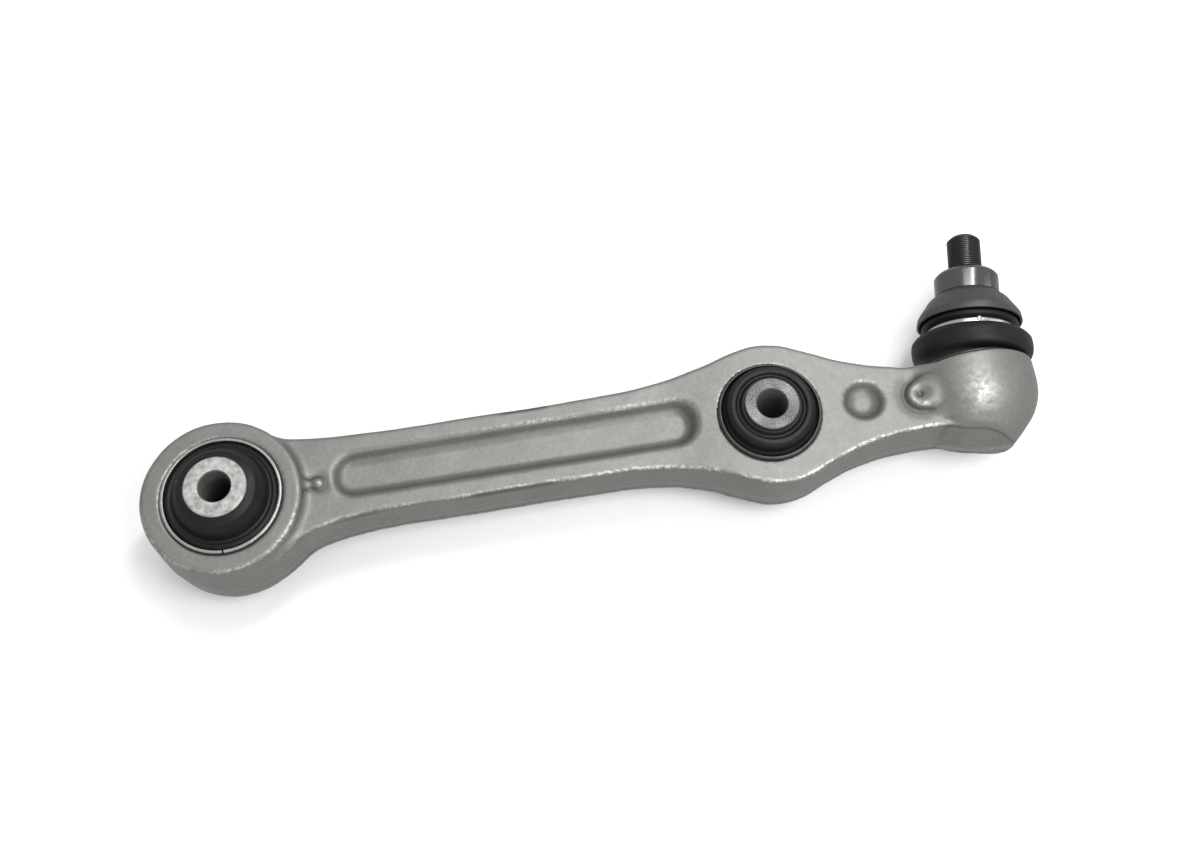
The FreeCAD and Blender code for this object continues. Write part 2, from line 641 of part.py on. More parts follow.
def make_stud():
    """Ball, neck and threaded shank in one piece, with a hexagon socket in the end."""
    stud = new_body("ball_stud")
    revolve(stud, "shank", [
        (ZERO, ZERO), (dim.neck_radius, ZERO), (dim.neck_radius, dim.shank_start - 2.0),
        (dim.shank_radius, dim.shank_start), (dim.shank_radius, dim.collar_end),
        (dim.thread_radius, dim.collar_end),
        (dim.thread_radius, dim.thread_end - dim.tip_chamfer),
        (dim.thread_radius - dim.tip_chamfer, dim.thread_end), (ZERO, dim.thread_end)])
    ball = stud.newObject("PartDesign::AdditiveSphere", "ball")
    flat = math.degrees(math.asin(dim.ball_flat.value / dim.ball_radius.value))
    bind(ball, Radius=dim.ball_radius,
         Angle1=Size(-flat, f"(-1 * asin({dim.ball_flat.text} / {dim.ball_radius.text}))"))
    doc.recompute()
    before = stud.Shape.Volume
    sketch = sketch_on(stud, "XY_Plane", "socket_hexagon", dim.thread_end)
    corner = dim.socket_flats * (1.0 / math.sqrt(3.0))
    add_polygon(sketch, [(corner * math.cos(math.radians(60 * step)),
                          corner * math.sin(math.radians(60 * step))) for step in range(6)])
    socket = stud.newObject("PartDesign::Pocket", "hexagon_socket")
    socket.Profile = sketch
    bind(socket, Length=dim.socket_depth)
    check_cut(stud, before, "hexagon socket")
    on_ball_axis(stud, leaning=True)

    collar = new_body("stud_collar")
    top = dim.collar_end
    revolve(collar, "collar_section", [
        (dim.shank_radius, dim.collar_start), (dim.collar_radius, dim.collar_start),
        (dim.collar_radius, top - dim.collar_chamfer),
        (dim.collar_radius - dim.collar_chamfer, top), (dim.shank_radius, top)])
    on_ball_axis(collar, leaning=True)


def make_shield():
    """Pressed steel skirt that covers the top of the boot, clamped under the collar."""
    shield = new_body("boot_shield")
    wall, top = dim.shield_wall, dim.collar_start
    revolve(shield, "shield_section", [
        (dim.shield_rim - wall, dim.shield_rim_at), (dim.shield_rim, dim.shield_rim_at),
        (dim.shield_side, dim.shield_side_at, 4.0), (dim.shield_dome, dim.shield_dome_at, 5.0),
        (dim.shield_top, top), (dim.shank_radius, top), (dim.shank_radius, top - wall),
        (dim.shield_top - wall * 0.4, top - wall),
        (dim.shield_dome - wall * 0.8, dim.shield_dome_at - wall * 0.6, 4.0),
        (dim.shield_side - wall, dim.shield_side_at - wall * 0.3, 3.0)])
    on_ball_axis(shield, leaning=True)


# ---------------------------------------------------------------- the assembly
forging = make_forging()
add_housing(forging)
cut_bores(forging)
cut_beam_pocket(forging)
cut_dimples(forging)
add_forged_marks(forging)
round_forging(forging)
make_inner_bush()
make_damper_bush()
make_seat()
make_boot()
make_boot_rings()
make_stud()
make_shield()
doc.recompute()

failed = [item.Name for item in doc.Objects
          if "Invalid" in item.State or "Error" in item.State]
if failed:
    raise RuntimeError(f"features that failed: {failed}")
for node in nodes:
    if node.Shape.isNull() or not node.Shape.isValid() or len(node.Shape.Solids) != 1:
        raise RuntimeError(f"{node.Label} is not one valid solid")

os.makedirs("parts", exist_ok=True)
for node in nodes:
    node.Shape.exportStep(f"parts/{node.Label}.step")
    print(f"{node.Label:28s} {node.Shape.Volume / 1000:9.2f} cm3")
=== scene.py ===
"""Looks of the forged control arm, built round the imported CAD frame.

Metres, in the CAD frame: origin at the inner bush bore, +Z along the bush axes,
+X towards the ball joint, +Y the side on which the stud stands. Shapes are worked
out in millimetres and scaled by MM when they become meshes.
"""
import bmesh
import bpy
import json
import math
import numpy as np
import openvdb
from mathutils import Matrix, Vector


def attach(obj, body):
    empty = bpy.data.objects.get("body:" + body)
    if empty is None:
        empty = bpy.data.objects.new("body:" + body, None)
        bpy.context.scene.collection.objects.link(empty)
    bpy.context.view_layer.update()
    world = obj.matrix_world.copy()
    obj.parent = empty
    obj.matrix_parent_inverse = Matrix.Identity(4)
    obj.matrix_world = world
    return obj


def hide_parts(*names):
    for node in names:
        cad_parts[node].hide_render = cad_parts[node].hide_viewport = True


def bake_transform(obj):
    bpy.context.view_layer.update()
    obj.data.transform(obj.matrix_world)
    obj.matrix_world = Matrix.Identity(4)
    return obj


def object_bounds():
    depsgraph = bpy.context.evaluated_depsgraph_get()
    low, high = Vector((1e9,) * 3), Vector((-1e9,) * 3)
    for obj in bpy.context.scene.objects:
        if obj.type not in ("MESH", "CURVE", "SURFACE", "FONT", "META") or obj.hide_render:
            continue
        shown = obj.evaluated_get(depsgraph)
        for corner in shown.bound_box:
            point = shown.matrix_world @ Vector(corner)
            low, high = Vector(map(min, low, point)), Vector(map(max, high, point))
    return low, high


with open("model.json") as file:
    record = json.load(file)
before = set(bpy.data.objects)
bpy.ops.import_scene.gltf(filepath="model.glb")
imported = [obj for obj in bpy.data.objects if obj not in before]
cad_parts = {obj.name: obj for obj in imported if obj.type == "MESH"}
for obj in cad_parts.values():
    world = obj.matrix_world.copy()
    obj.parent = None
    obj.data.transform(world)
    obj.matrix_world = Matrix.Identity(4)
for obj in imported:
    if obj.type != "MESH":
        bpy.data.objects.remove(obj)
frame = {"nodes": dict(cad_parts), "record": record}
cad_box = [list(corner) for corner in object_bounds()]
MM = 0.001


# ---------------------------------------------------------------- places from the frame
def joint(name):
    return next(item for item in frame["record"]["behaviour"]["joints"]
                if item["name"] == name)


def mount(name):
    return next(item for item in frame["record"]["mounts"] if item["name"] == name)


BALL = np.array(joint("stud_spin")["pos_m"]) / MM
STUD_AXIS = np.array(joint("stud_spin")["axis"])
HOUSING_AXIS = np.array([0.0, 1.0, 0.0])
DAMPER = np.array(mount("damper_bush_bore")["pos_m"]) / MM
FLOOR_Z = cad_box[0][2]
BOLT_BORE = mount("inner_bush_bore")["dims"]["r_mm"]


# ---------------------------------------------------------------- implicit forging
STEP = 0.75                             # grid pitch of the implicit solid
MARGIN = 3.0                            # empty space round it
RING_RADIUS, RING_HALF, RING_X, RING_ROUND = 36.7, 20.0, -0.7, 1.9
RING_DRAFT = math.tan(math.radians(2.0))
BEAM_HALF, BOSS_HALF, PLATE_END, PLATE_ROUND = 14.0, 16.4, 340.0, 1.8
STEP_START, STEP_END = 200.0, 236.0     # where the faces step up from beam to boss
DRAFT = math.tan(math.radians(5.0))
INNER_BORE, INNER_MOUTH, DAMPER_BORE = 27.2, 1.1, 23.8
PANEL_START, PANEL_END, PANEL_CORNER = 48.5, 217.0, 10.6
PANEL_FLOOR = 8.4                       # height of the panel's floor above the middle plane
PANEL_SLOPE = math.radians(30.0)
DIMPLE_X, DIMPLE_Y, DIMPLE_DEPTH = 294.6, 8.0, 5.0
PIP_X, PIP_Y, PIP_HEIGHT, PIP_PIT = 321.0, 7.0, 2.1, 3.1
NUB_X, NUB_Y = 42.2, 2.3
HOUSING_RADIUS, HOUSING_RIM, HOUSING_FLOOR = 30.5, 20.5, -18.5
SPIGOT_RADIUS, SPIGOT_TOP = 22.0, 24.0


def round_union(a, b, radius):
    """Union of two distance fields with a fillet of this radius in the corner."""
    inside = np.hypot(np.maximum(radius - a, 0), np.maximum(radius - b, 0))
    return np.maximum(radius, np.minimum(a, b)) - inside


def round_overlap(a, b, radius):
    """Intersection with its outer edge rounded to this radius."""
    outside = np.hypot(np.maximum(radius + a, 0), np.maximum(radius + b, 0))
    return np.minimum(-radius, np.maximum(a, b)) + outside


def round_cut(a, tool, radius):
    """Cut tool out of a, with the cut's rim rounded to this radius."""
    return round_overlap(a, -tool, radius)


def ramp(x, start, end):
    """Smooth step from 0 at start to 1 at end."""
    t = np.clip((x - start) / (end - start), 0, 1)
    return t * t * (3 - 2 * t)


def smooth_curve(x, points):
    """Smooth cubic through a few (x, value) points, with slopes from their neighbours."""
    xs, ys = np.array(points, float).T
    slopes = np.gradient(ys, xs)
    index = np.clip(np.searchsorted(xs, x) - 1, 0, len(xs) - 2)
    width = xs[index + 1] - xs[index]
    t = np.clip((x - xs[index]) / width, 0, 1)
    return ((1 + 2 * t) * (1 - t) ** 2 * ys[index] + t * (1 - t) ** 2 * width * slopes[index]
            + t * t * (3 - 2 * t) * ys[index + 1] + t * t * (t - 1) * width * slopes[index + 1])


# Upper and lower edge of the beam, middle boss and neck at the parting plane, as (x, y).
TOP_EDGE = [(0, 29.8), (20, 28.6), (34, 26.8), (46, 25.7), (60, 25.4), (110, 26.6),
            (160, 28.3), (190, 30.3), (210, 33.7), (226, 37.8), (238, 41.8), (249, 43.7),
            (260, 42.5), (272, 37.9), (286, 31.6), (300, 27.0), (314, 24.0), (325, 21.6),
            (352, 20.0)]
LOW_EDGE = [(0, -34.6), (12, -34.0), (20, -32.4), (28, -27.6), (35, -22.6), (46, -18.9),
            (60, -16.6), (110, -14.3), (160, -12.7), (188, -12.3), (205, -14.0),
            (220, -17.5), (234, -23.2), (246, -27.4), (254, -28.1), (264, -26.2),
            (277, -20.6), (290, -15.6), (303, -12.5), (316, -11.2), (326, -11.4),
            (333, -14.0), (339, -16.3), (344, -17.9), (349, -19.0), (357, -20.6),
            (366, -22.0), (384, -24.0)]

# Draft of the lower wall, as (x, slope): steeper where the neck runs below the housing.
LOW_DRAFT = [(0, DRAFT), (300, DRAFT), (318, 0.09), (326, 0.12), (333, 0.26), (339, 0.33),
             (346, 0.35), (384, 0.35)]

FLASH_Z, FLASH_WIDTH = -4.0, 1.0        # trimmed parting-line ridge on the walls
RIM_DEPTH, RIM_STEP = 1.4, 0.85         # the low wall sits in a little below the face's rim

# Height of that rim above the middle plane, where it runs on under the housing.
LEDGE_START = 330
LEDGE = [(300, 16.4), (330, 16.4), (339, 17.0), (344, 17.6), (349, 17.4), (357, 13.2),
         (361, 8.7), (366, 3.0), (384, 0.0)]


def flash(z, height):
    """Low rounded ridge along the parting line."""
    return height * np.exp(-((z - FLASH_Z) / FLASH_WIDTH) ** 2)


def face_height(x):
    """Height of the flat faces, which step up from the beam to the boss."""
    return BEAM_HALF + (BOSS_HALF - BEAM_HALF) * ramp(x, STEP_START, STEP_END)


def rim_height(x):
    return np.where(x < LEDGE_START, face_height(x), smooth_curve(x, LEDGE))


def distance_to_edge(x, y, points, side):
    """Signed distance to one edge curve, positive outside, corrected for its slope."""
    height = smooth_curve(x, points)
    slope = (smooth_curve(x + 0.5, points) - smooth_curve(x - 0.5, points))
    return side * (y - height) / np.sqrt(1 + slope * slope)


def plate_field(x, y, z):
    """Beam, boss and neck: two edge curves, drafted walls, face height that steps up."""
    height = np.abs(z)
    half = face_height(x)
    top = distance_to_edge(x, y, TOP_EDGE, 1)
    low = distance_to_edge(x, y, LOW_EDGE, -1)
    low = low + RIM_STEP * ramp(half - RIM_DEPTH - height, 0.0, 0.7) - flash(z, 0.5)
    walls = np.maximum(top + height * DRAFT, low + height * smooth_curve(x, LOW_DRAFT))
    across = np.maximum(walls, np.maximum(x - PLATE_END, -x))
    return round_overlap(across, height - half, PLATE_ROUND)


def ring_field(x, y, z):
    side = (np.hypot(x - RING_X, y) - RING_RADIUS
            + np.abs(z) * RING_DRAFT - flash(z, 0.3))
    return round_overlap(side, np.abs(z) - RING_HALF, RING_ROUND)


# Half section of the ball-joint housing below its rim, as (radius, y).
HOUSING_SECTION = [(0.0, HOUSING_FLOOR), (12.6, HOUSING_FLOOR), (15.8, -15.4), (18.6, -12.8),
                   (21.4, -10.0), (24.2, -7.0), (26.2, -4.2), (28.0, -0.8), (29.4, 3.1),
                   (30.2, 8.0), (30.4, 14.0), (30.4, HOUSING_RIM), (0.0, HOUSING_RIM)]

KEEL_LOW = -19.4                        # lowest level of the underside
SEAT_RADIUS, RETAINER_RADIUS, RETAINER_LOW, RETAINER_TOP = 16.0, 18.5, 8.3, 13.0
MOUTH_RADIUS, MOUTH_SLOPE = 12.6, 0.45


def polygon_field(u, v, corners):
    """Signed distance to a closed polygon in the plane of u and v."""
    nearest = np.full(np.broadcast(u, v).shape, 1e9, np.float32)
    inside = np.zeros(nearest.shape, bool)
    for (u0, v0), (u1, v1) in zip(corners, corners[1:] + corners[:1]):
        du, dv = u1 - u0, v1 - v0
        t = np.clip(((u - u0) * du + (v - v0) * dv) / (du * du + dv * dv), 0, 1)
        nearest = np.minimum(nearest, np.hypot(u - u0 - t * du, v - v0 - t * dv))
        if dv:
            crossing = ((v0 <= v) != (v1 <= v)) & (u < u0 + (v - v0) / dv * du)
            inside ^= crossing
    return np.where(inside, -nearest, nearest)


def housing_field(x, y, z):
    """Body of revolution about +Y whose underside is cut by two drafted flats."""
    radius = np.hypot(x - BALL[0], z)
    mirrored = [(-u, v) for u, v in HOUSING_SECTION[-2:0:-1]]
    turned = polygon_field(radius, y, HOUSING_SECTION[1:-1] + mirrored)
    turned = round_overlap(turned, y - HOUSING_RIM, 1.6)
    slope = smooth_curve(x, LOW_DRAFT)
    flat = smooth_curve(x, LOW_EDGE) + slope * (np.sqrt(z * z + 1.0) - 1.0)
    flat = np.maximum(flat, KEEL_LOW)
    flat = flat + RIM_STEP * ramp(rim_height(x) - RIM_DEPTH - np.abs(z), 0.0, 0.7)
    flat = flat - flash(z - 5.0, 0.4)
    body = round_overlap(turned, (flat - y) / np.hypot(1.0, slope), 0.8)
    spigot = np.maximum(radius - SPIGOT_RADIUS, np.abs(y - SPIGOT_TOP + 5) - 5)
    return np.minimum(body, spigot)


def cavity_field(x, y, z):
    """Ball socket, retaining-ring seat and the flared mouth of the housing."""
    radius = np.hypot(x - BALL[0], z)
    ball = np.sqrt(radius ** 2 + (y - BALL[1]) ** 2) - SEAT_RADIUS
    socket = np.minimum(np.where(y < BALL[1], ball, radius - SEAT_RADIUS),
                        np.maximum(radius - RETAINER_RADIUS, RETAINER_LOW - y))
    socket = np.maximum(socket, y - RETAINER_TOP)
    flare = radius - MOUTH_RADIUS - (y - RETAINER_LOW) * MOUTH_SLOPE
    mouth = np.maximum(flare, RETAINER_TOP - 0.1 - y)
    return np.minimum(socket, mouth)


def panel_field(x, y, z):
    """Sunk panel of the beam on both faces: sloping walls down to a flat floor."""
    share = (x - 60.0) / 146.0
    middle = 4.6 + share * (9.5 - 4.6)
    half_width = 11.0 + share * 0.6
    along = np.abs(x - (PANEL_START + PANEL_END) / 2) - (PANEL_END - PANEL_START) / 2
    across = np.abs(y - middle) - half_width
    flat = np.hypot(np.maximum(along + PANEL_CORNER, 0),
                    np.maximum(across + PANEL_CORNER, 0)) - PANEL_CORNER
    depth = BEAM_HALF - np.abs(z)
    walls = (flat + 0.2 + depth * math.tan(PANEL_SLOPE)) * math.cos(PANEL_SLOPE)
    return round_overlap(walls, PANEL_FLOOR - np.abs(z), 2.4)


def dimple_field(x, y, z):
    """Round sunk dimple on both faces of the neck."""
    radius = np.hypot(x - DIMPLE_X, y - DIMPLE_Y)
    height = np.abs(z) - BOSS_HALF
    walls = (radius - 9.6 - height * 0.65) * 0.84
    return round_overlap(walls, -DIMPLE_DEPTH - height, 2.8)


def add_pip(field, x, y, z):
    """Raised rim round a pit beside the housing, in its own shallow valley."""
    radius = np.hypot(x - PIP_X, y - PIP_Y)
    face = z - BOSS_HALF
    valley = round_overlap((radius - 10.5 - face * 1.0) * 0.7, -1.5 - face, 2.0)
    field = np.where(z > 0, round_cut(field, valley, 2.4), field)
    post = round_overlap((radius - 6.4 + face * 0.35) * 0.94, face - PIP_HEIGHT, 0.8)
    post = np.maximum(post, -face - 5.0)
    field = round_union(field, post, 1.6)
    pit = (radius - PIP_PIT - (face - 2.0) * 0.8) * 0.78
    return round_cut(field, pit, 0.6)


def add_nub(field, x, y, z):
    """Small forged nub near the ring, with a halo round it and a ridge to the ring."""
    radius = np.hypot(x - NUB_X, y - NUB_Y)
    face = z - BEAM_HALF
    halo = round_overlap((radius - 5.4 - face * 1.5) * 0.6, -1.1 - face, 1.5)
    field = np.where(z > 0, round_cut(field, halo, 1.2), field)
    bump = np.sqrt(radius ** 2 + ((face + 0.6) * 1.1) ** 2) - 2.7
    ridge = np.hypot(y - NUB_Y, (face + 0.9) * 1.1) - 1.9
    ridge = np.maximum(ridge, np.maximum(x - NUB_X, 33.0 - x))
    return round_union(round_union(field, bump, 1.2), ridge, 1.2)


def forging_grid():
    """The forging's distance field on a regular grid, and the place of its first cell."""
    boss_top = 43.4
    low = np.array([RING_X - RING_RADIUS, -RING_RADIUS, -HOUSING_RADIUS]) - MARGIN
    high = np.array([BALL[0] + HOUSING_RADIUS, boss_top, HOUSING_RADIUS]) + MARGIN
    axes = [np.arange(low[i], high[i], STEP) for i in range(3)]
    x, y, z = np.meshgrid(*axes, indexing="ij", sparse=True)
    x, y, z = (np.asarray(a, np.float32) for a in (x, y, z))
    field = plate_field(x, y, z)
    field = round_cut(field, panel_field(x, y, z), 1.6)
    field = round_cut(field, dimple_field(x, y, z), 1.2)
    field = add_nub(field, x, y, z)
    field = add_pip(field, x, y, z)
    field = round_union(field, ring_field(x, y, z), 4.0)
    field = round_union(field, housing_field(x, y, z), 1.0 + 7.0 * ramp(y, -9.0, 2.0))
    field = field + surface_unevenness(x, y, z)
    from_bush = np.hypot(x, y) - INNER_BORE
    field = np.maximum(field, -from_bush)
    mouth = (from_bush - INNER_MOUTH + (RING_HALF - np.abs(z))) * 0.707
    field = np.maximum(field, -mouth)
    field = np.maximum(field, -(np.hypot(x - DAMPER[0], y - DAMPER[1]) - DAMPER_BORE))
    field = np.maximum(field, -cavity_field(x, y, z))
    return field.astype(np.float32), low


def surface_unevenness(x, y, z):
    """Slow ripples of a hand-finished forging, a tenth of a millimetre or so."""
    return (0.10 * np.sin(x * 0.11 + 1.3) * np.sin(y * 0.17 + z * 0.05)
            + 0.06 * np.sin(x * 0.31 + z * 0.21 + 0.6) * np.sin(y * 0.27 + 2.1))


def sample(grid, low, points):
    """Trilinear value of a grid at points in millimetres."""
    place = (points - low) / STEP
    cell = np.clip(np.floor(place).astype(int), 0, np.array(grid.shape) - 2)
    part = place - cell
    total = np.zeros(len(points))
    for corner in np.ndindex(2, 2, 2):
        weight = np.prod(np.where(corner, part, 1 - part), axis=1)
        at = cell + corner
        total += weight * grid[at[:, 0], at[:, 1], at[:, 2]]
    return total


def box_blur(grid, reach):
    """Mean over a cube of 2 * reach + 1 cells, by running sums."""
    for axis in range(3):
        padded = np.concatenate(
            [np.repeat(grid.take([0], axis), reach + 1, axis), grid,
             np.repeat(grid.take([-1], axis), reach, axis)], axis)
        sums = np.cumsum(padded, axis, dtype=np.float64)
        width = 2 * reach + 1
        grid = ((sums.take(range(width, sums.shape[axis]), axis)
                 - sums.take(range(sums.shape[axis] - width), axis)) / width
                ).astype(np.float32)
    return grid


def mesh_object(name, points, faces, material):
    """A smooth-shaded piece from points in millimetres."""
    mesh = bpy.data.meshes.new(name)
    mesh.from_pydata((np.asarray(points) * MM).tolist(), [], [list(map(int, f)) for f in faces])
    mesh.validate()
    mesh.shade_smooth()
    piece = bpy.data.objects.new(name, mesh)
    bpy.context.scene.collection.objects.link(piece)
    mesh.materials.append(material)
    return piece


def shielded(x, y, z):
    """Less wear and painted glint on the edge under the housing, and on the panel's rim near the
    ring.
    """
    ledge = ramp(x, 326.0, 334.0) * ramp(-y, 6.0, 8.0)
    rim = (1 - ramp(np.abs(y - 5.0), 12.0, 13.5)) * ramp(x, 44.0, 46.0)
    rim = rim * (1 - ramp(x, 140.0, 165.0)) * ramp(z, 8.0, 10.0)
    return 1 - np.maximum(0.9 * ledge, 0.85 * rim)


def handling_wear_and_highlight(x, y, z):
    """How much the front of the housing is rubbed bright, and its foot beside it: partly real wear,
    partly a painted highlight where the light catches them.
    """
    front = 0.55 * np.exp(-((x - 345.5) / 8.0) ** 2 - ((y - 1.0) / 9.0) ** 2) * ramp(z, 5, 9)
    foot = 0.8 * np.exp(-((x - 357.0) / 11.0) ** 2 - ((z - 1.5) / 1.0) ** 2) * ramp(-y, 15, 16)
    return np.maximum(front, foot)


def flash_flat_and_shade(x, y, z):
    """Short dark patches along both front edges where the flash was ground off, darkened as painted
    reflection; a painted shadow line at the ring's root; painted shade in the crease under the
    face's rim.
    """
    top = y - smooth_curve(x, TOP_EDGE)
    low = smooth_curve(x, LOW_EDGE) - y
    # Ground-off flash patches, darkened as a painted reflection of the dark.
    upper = ramp(x, 124.0, 130.0) * (1 - ramp(x, 148.0, 151.0)) * ramp(top, -3.6, -2.8)
    lower = ramp(x, 106.0, 112.0) * (1 - ramp(x, 147.0, 151.0)) * ramp(low, -2.2, -1.6)
    # Painted shadow line along the lower edge at the ring's root.
    root = ramp(x, 44.0, 50.0) * (1 - ramp(x, 66.0, 74.0)) * ramp(low, -2.4, -1.8)
    band = ramp(z, 9.0, 10.0) * (1 - ramp(z, 14.2, 14.6))
    # Painted shade: a dark line in the crease just under the face's rim.
    crease = np.exp(-((z - rim_height(x) + RIM_DEPTH + 0.5) / 0.55) ** 2) * ramp(low, -9.0, -7.0)
    crease = crease * ramp(x, 40.0, 60.0) * (0.45 + 0.55 * ramp(x, 300.0, 335.0))
    return np.maximum(np.maximum(upper * ramp(z, 12.0, 13.0), crease),
                      np.maximum(lower, 0.6 * root) * band)


def paint(piece, name, values):
    """Store one number per vertex, which the material reads by this name."""
    attribute = piece.data.attributes.new(name, "FLOAT", "POINT")
    attribute.data.foreach_set("value", values.astype(np.float32))


def make_forging(material):
    """Skin of the implicit solid, with its wear, painted glints and painted shade stored by
    curvature and place.
    """
    field, low = forging_grid()
    grid = openvdb.FloatGrid()
    grid.copyFromArray(field)
    points, quads = grid.convertToQuads(0.0)
    points = points.astype(np.float64) * STEP + low
    piece = mesh_object("forging_skin", points, quads[:, ::-1], material)
    curvature = sample(box_blur(field, 2) - field, low, points)
    # Edge wear is kept to edges that face -Y, the side the light catches, so its bright specks are
    # partly painted glint; negative curvature is kept for painted shade in hollows.
    lean = sample(np.gradient(field, STEP, axis=1), low, points)
    wear_and_glint = ramp(-lean, -0.25, 0.15) * shielded(*points.T)
    curvature = np.where(curvature > 0, curvature * wear_and_glint, curvature)
    paint(piece, "edge_wear_glint_and_shade", np.clip(curvature / 0.35, -1, 1))
    paint(piece, "handling_wear_and_highlight", handling_wear_and_highlight(*points.T))
    paint(piece, "flash_flat_and_shade", flash_flat_and_shade(*points.T))
    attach(piece, "arm")
    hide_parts("arm_forging")


# ---------------------------------------------------------------- turned and moulded pieces
SEGMENTS = 160


def rounded(corners):
    """Outline of (radius, along[, corner radius]) with its corners turned into arcs."""
    outline = []
    count = len(corners)
    for index, corner in enumerate(corners):
        point = np.array(corner[:2], float)
        radius = corner[2] if len(corner) > 2 else 0.0
        if radius == 0.0:
            outline.append(point)
            continue
        before = np.array(corners[index - 1][:2], float) - point
        after = np.array(corners[(index + 1) % count][:2], float) - point
        before, after = before / np.linalg.norm(before), after / np.linalg.norm(after)
        half = math.acos(float(np.clip(before @ after, -1, 1))) / 2
        reach = radius / math.tan(half)
        centre = point + (before + after) / np.linalg.norm(before + after) * radius / math.sin(half)
        start, end = point + before * reach - centre, point + after * reach - centre
        turn = math.atan2(start[0] * end[1] - start[1] * end[0], float(start @ end))
        steps = max(3, int(abs(turn) / 0.16) + 1)
        for step in range(steps + 1):
            angle = turn * step / steps
            spin = np.array([[math.cos(angle), -math.sin(angle)],
                             [math.sin(angle), math.cos(angle)]])
            outline.append(centre + spin @ start)
    return outline


def axis_frame(centre, axis):
    """Matrix whose third column is the axis, through the centre, in millimetres."""
    axis = np.array(axis, float) / np.linalg.norm(axis)
    side = np.cross([0.0, 0.0, 1.0] if abs(axis[2]) < 0.9 else [0.0, 1.0, 0.0], axis)
    side /= np.linalg.norm(side)
    return np.array(centre, float), np.stack([side, np.cross(axis, side), axis], axis=1)


def lathe(name, corners, place, material, sweep=None):
    """Closed outline turned about an axis, all round or by a sweep of (start, end) angles.

    A point on the axis becomes one vertex.
    """
    centre, turn = place
    outline = rounded(corners)
    start, end = sweep or (0.0, 2 * math.pi)
    full = sweep is None
    stations = SEGMENTS if full else SEGMENTS + 1
    points, faces, rows = [], [], []
    for radius, along in outline:
        if radius < 1e-6:
            rows.append([len(points)] * stations)
            points.append([0.0, 0.0, along])
            continue
        rows.append(list(range(len(points), len(points) + stations)))
        for step in range(stations):
            angle = start + (end - start) * step / SEGMENTS
            points.append([radius * math.cos(angle), radius * math.sin(angle), along])
    count = len(rows)
    for index in range(count):
        here, there = rows[index], rows[(index + 1) % count]
        if here[0] == here[-1] and there[0] == there[-1]:
            continue
        for step in range(SEGMENTS):
            following = (step + 1) % stations
            face = [here[step], here[following], there[following], there[step]]
            unique = list(dict.fromkeys(face))
            if len(unique) > 2:
                faces.append(unique)
    if not full:
        faces.append([row[0] for row in rows][::-1])
        faces.append([row[-1] for row in rows])
    points = np.array(points) @ turn.T + centre
    piece = mesh_object(name, points, faces, material)
    mark_sharp(piece.data, math.radians(32))
    return piece


def mark_sharp(mesh, limit):
    """Turn every face outwards and break the shading where faces meet over the limit."""
    edit = bmesh.new()
    edit.from_mesh(mesh)
    bmesh.ops.recalc_face_normals(edit, faces=edit.faces)
    for edge in edit.edges:
        if len(edge.link_faces) == 2 and edge.calc_face_angle(0.0) > limit:
            edge.smooth = False
    edit.to_mesh(mesh)
    edit.free()


def both_ends(upper):
    """Outline symmetric about the middle plane, from its upper half, outside to inside."""
    return list(upper) + [(c[0], -c[1]) + tuple(c[2:]) for c in reversed(upper)]


def settle(piece, body, slot, *nodes):
    """Say which body the piece rides and which nodes it replaces; the slot is not used."""
    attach(piece, body)
    if nodes:
        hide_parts(*nodes)


def darken_bore(tube, place, material):
    """Give the faces of a sleeve's bore their own unpolished look, dark as painted shade for the
    unlit inside of the bore.
    """
    tube.data.materials.append(material)
    middle = place[0]
    for face in tube.data.polygons:
        x, y = face.center[0] / MM - middle[0], face.center[1] / MM - middle[1]
        if math.hypot(x, y) < BOLT_BORE + 0.3:
            face.material_index = 1


INNER_PLACE = axis_frame((0, 0, 0), (0, 0, 1))
DAMPER_PLACE = axis_frame(DAMPER, (0, 0, 1))
STUD_PLACE = axis_frame(BALL, STUD_AXIS)


# Each bush: half lengths of the outer and inner sleeve, and the inner sleeve's radius.
SPLIT_HALF, SPLIT_WALL, INNER_HALF, INNER_TUBE = 21.2, 1.5, 32.5, 14.0
SHELL_HALF, SHELL_WALL, DAMPER_HALF, DAMPER_TUBE = 18.3, 1.4, 27.0, 12.6


def make_inner_bush(looks):
    """Split outer sleeve, stepped rubber and thick inner sleeve of the big bush."""
    seam = 0.4 / INNER_BORE
    down = -math.pi / 2
    inside = INNER_BORE - SPLIT_WALL
    sleeve = lathe("split_sleeve", [
        (INNER_BORE, -SPLIT_HALF, 0.4), (INNER_BORE, SPLIT_HALF, 0.5),
        (inside, SPLIT_HALF, 0.4), (inside, -SPLIT_HALF, 0.4)],
        INNER_PLACE, looks["shell_steel"], sweep=(down + seam, down + 2 * math.pi - seam))
    settle(sleeve, "arm", "bush_shell_steel", "inner_bush_outer_sleeve")
    rubber = lathe("inner_rubber", both_ends([
        (25.65, 18.6, 0.2), (25.2, 20.2, 0.5), (23.8, 21.2, 0.9), (22.4, 20.7, 0.8),
        (21.5, 21.2, 1.0), (20.2, 25.8, 1.5), (19.2, 27.6, 1.2), (17.6, 30.2, 1.6),
        (15.2, 31.2, 1.0), (INNER_TUBE + 0.06, 31.4)]), INNER_PLACE, looks["rubber"])
    settle(rubber, "arm", "bush_rubber", "inner_bush_rubber")
    tube = lathe("inner_tube", both_ends([
        (INNER_TUBE, INNER_HALF - 0.6, 0.2), (INNER_TUBE - 0.6, INNER_HALF, 0.25),
        (BOLT_BORE + 0.5, INNER_HALF, 0.15), (BOLT_BORE, INNER_HALF - 0.5, 0.1)]),
        INNER_PLACE, looks["grainy_steel"])
    darken_bore(tube, INNER_PLACE, looks["bore_shade_steel"])
    settle(tube, "inner_sleeve", "sleeve_steel", "inner_bush_inner_sleeve")


